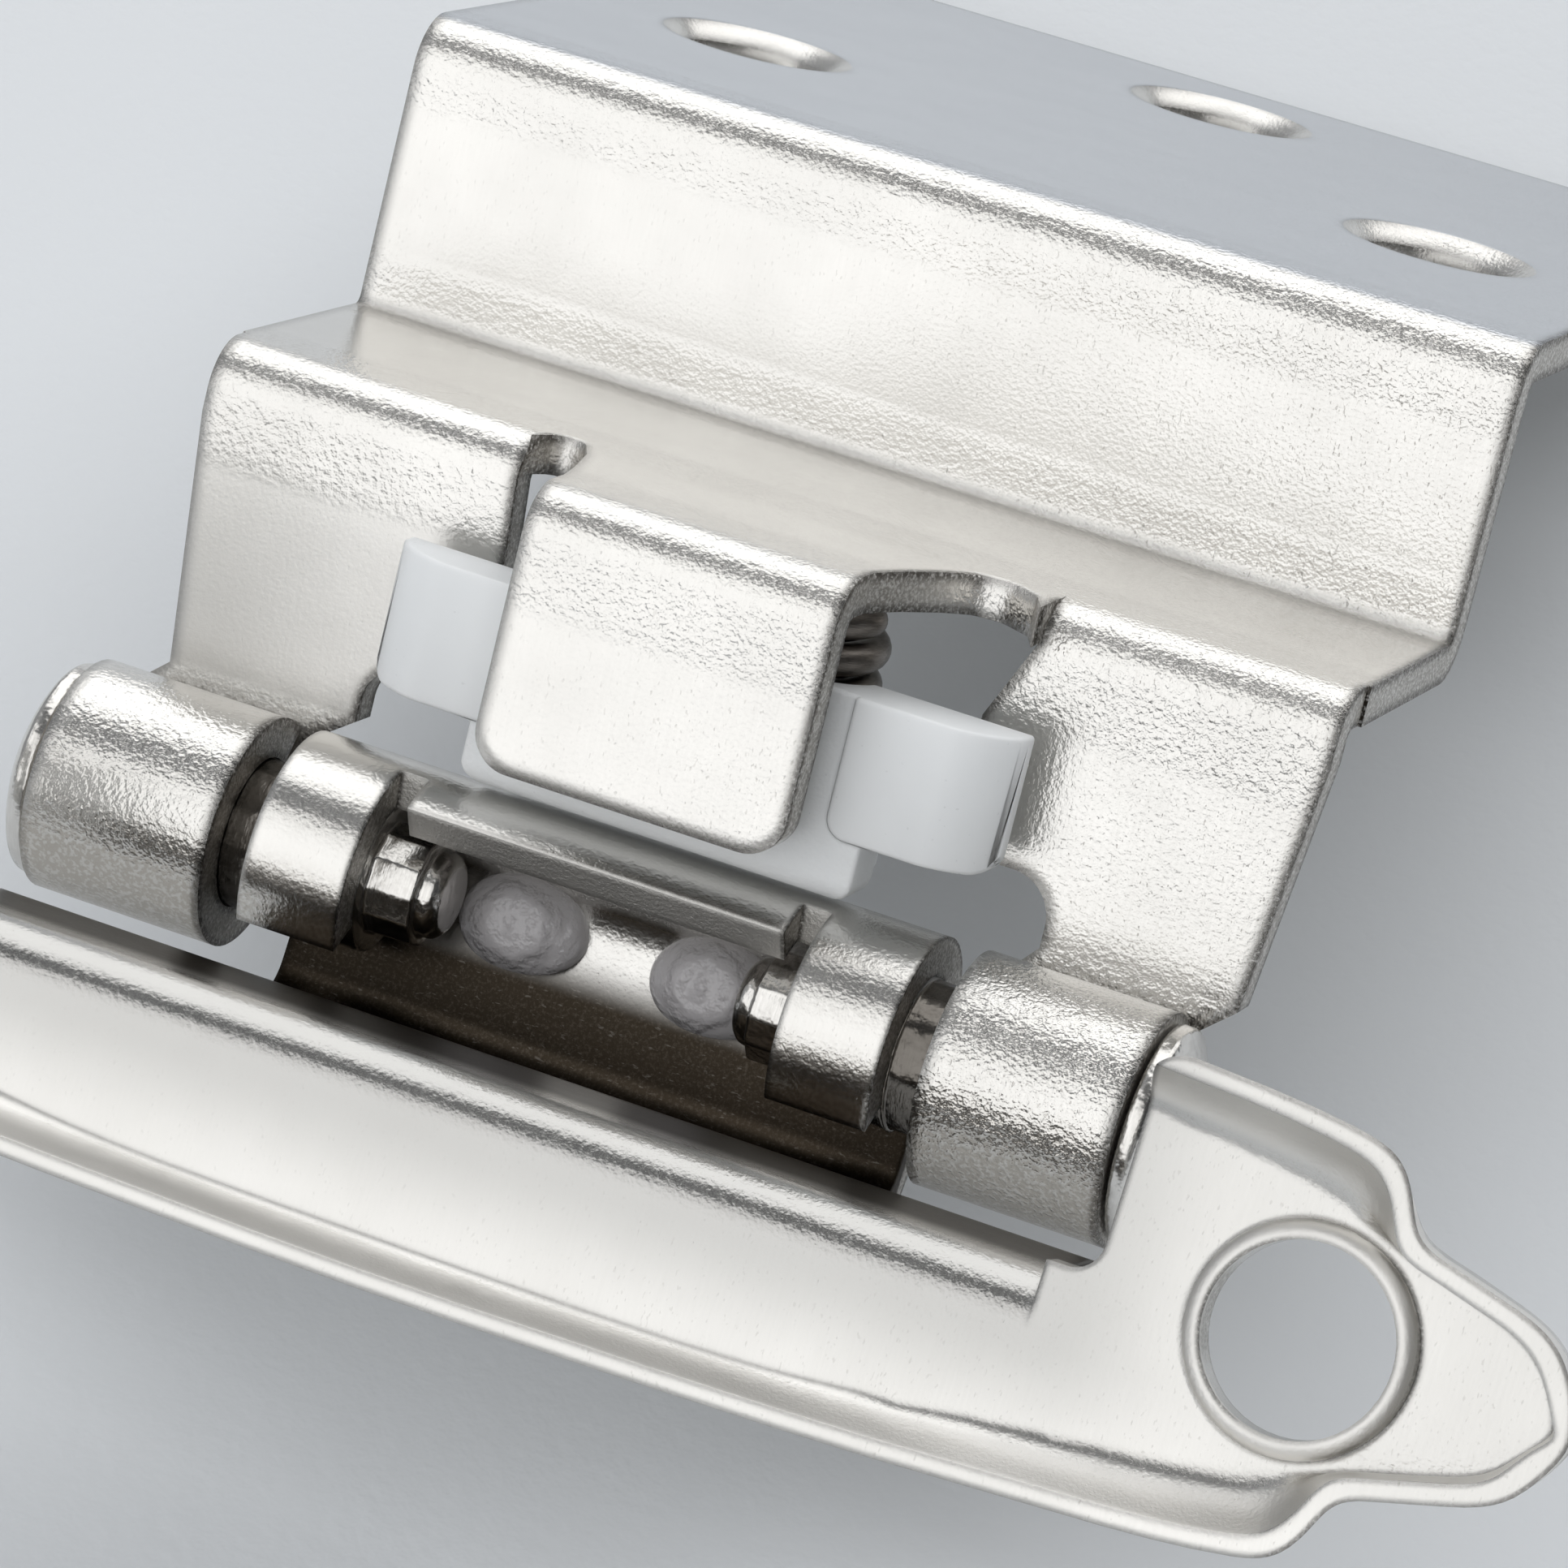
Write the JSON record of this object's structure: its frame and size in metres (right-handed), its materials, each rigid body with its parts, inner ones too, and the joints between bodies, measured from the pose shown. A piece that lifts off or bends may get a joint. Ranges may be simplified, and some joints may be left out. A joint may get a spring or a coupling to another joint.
{
  "type": "cabinet hinge",
  "caption": "Sprung cabinet hinge with a double-stepped wing, a shaped decorative leaf on two short pins, and a nylon slider behind a cover tab.",
  "frame": {"origin": "on the mounting plate's outer face, midway between its two front screws", "axes": "+X along the pins, +Y from the decorative side towards the mounting plate, +Z square to the mounting plate, away from the pins"},
  "size_m": [0.0588, 0.0555, 0.0269],
  "materials": {
    "plated_sheet": "satin nickel plating on pressed steel sheet",
    "plated_pin": "bright nickel plating on turned steel",
    "nylon": "natural white nylon, slightly translucent",
    "spring_wire": "dark oiled spring wire"
  },
  "bodies": {
    "wing": {"wing_leaf": "plated_sheet", "spring_left": "spring_wire", "spring_right": "spring_wire"},
    "leaf": {"face_leaf": "plated_sheet", "pin_left": "plated_pin", "pin_right": "plated_pin", "cam_pad": "nylon"},
    "slide": {"slider": "nylon"}
  },
  "joints": [
    {"name": "leaf_swing", "type": "hinge", "parent": "wing", "child": "leaf", "pos_m": [0, -0.0237, -0.0204], "axis": [1, 0, 0], "range_deg": [-78, 30]},
    {"name": "slider_travel", "type": "slide", "parent": "wing", "child": "slide", "axis": [0, 0, 1], "range_m": [0, 0.0004], "stiffness_N_per_m": 2000, "springref_m": -0.002, "deforming": ["spring_left", "spring_right"]}
  ]
}
